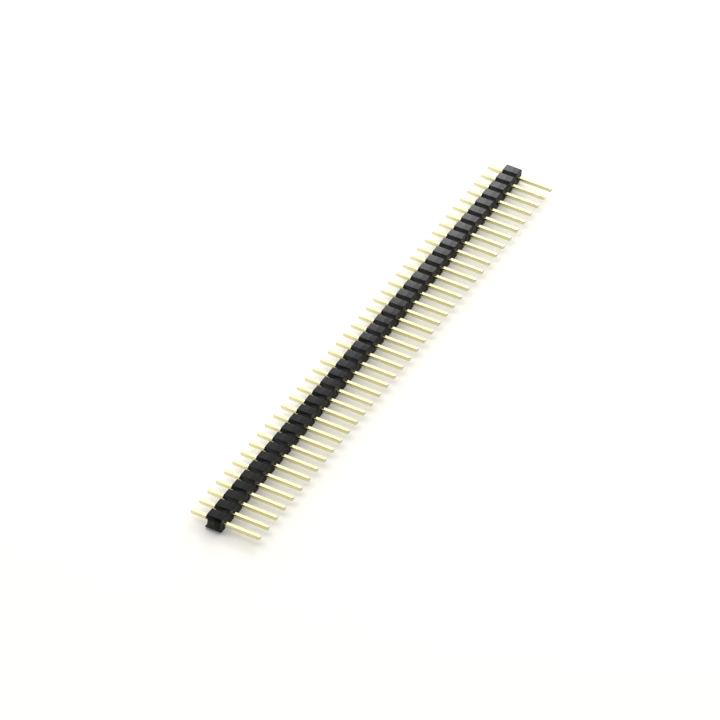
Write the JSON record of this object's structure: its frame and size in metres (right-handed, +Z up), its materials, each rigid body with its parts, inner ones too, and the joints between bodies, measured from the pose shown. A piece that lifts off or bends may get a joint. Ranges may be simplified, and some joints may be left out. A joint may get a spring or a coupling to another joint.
{
  "type": "pin header strip",
  "caption": "Straight pin header strip: square gold-flashed pins pressed through a black breakaway plastic insulator, with long mating posts on one side and short board tails on the other.",
  "frame": {"origin": "middle of the part's footprint, on the surface that the insulator lies on", "axes": "+X along the row, -Y along the mating posts, +Y along the board tails, +Z up from the surface that the strip lies on"},
  "size_m": [0.1016, 0.0116, 0.0025],
  "materials": {
    "insulator": "satin",
    "pin": "satin"
  },
  "bodies": {
    "root": {"insulator_strip": "insulator", "pin_01": "pin", "pin_02": "pin", "pin_03": "pin", "pin_04": "pin", "pin_05": "pin", "pin_06": "pin", "pin_07": "pin", "pin_08": "pin", "pin_09": "pin", "pin_10": "pin", "pin_11": "pin", "pin_12": "pin", "pin_13": "pin", "pin_14": "pin", "pin_15": "pin", "pin_16": "pin", "pin_17": "pin", "pin_18": "pin", "pin_19": "pin", "pin_20": "pin", "pin_21": "pin", "pin_22": "pin", "pin_23": "pin", "pin_24": "pin", "pin_25": "pin", "pin_26": "pin", "pin_27": "pin", "pin_28": "pin", "pin_29": "pin", "pin_30": "pin", "pin_31": "pin", "pin_32": "pin", "pin_33": "pin", "pin_34": "pin", "pin_35": "pin", "pin_36": "pin", "pin_37": "pin", "pin_38": "pin", "pin_39": "pin", "pin_40": "pin"}
  },
  "joints": []
}
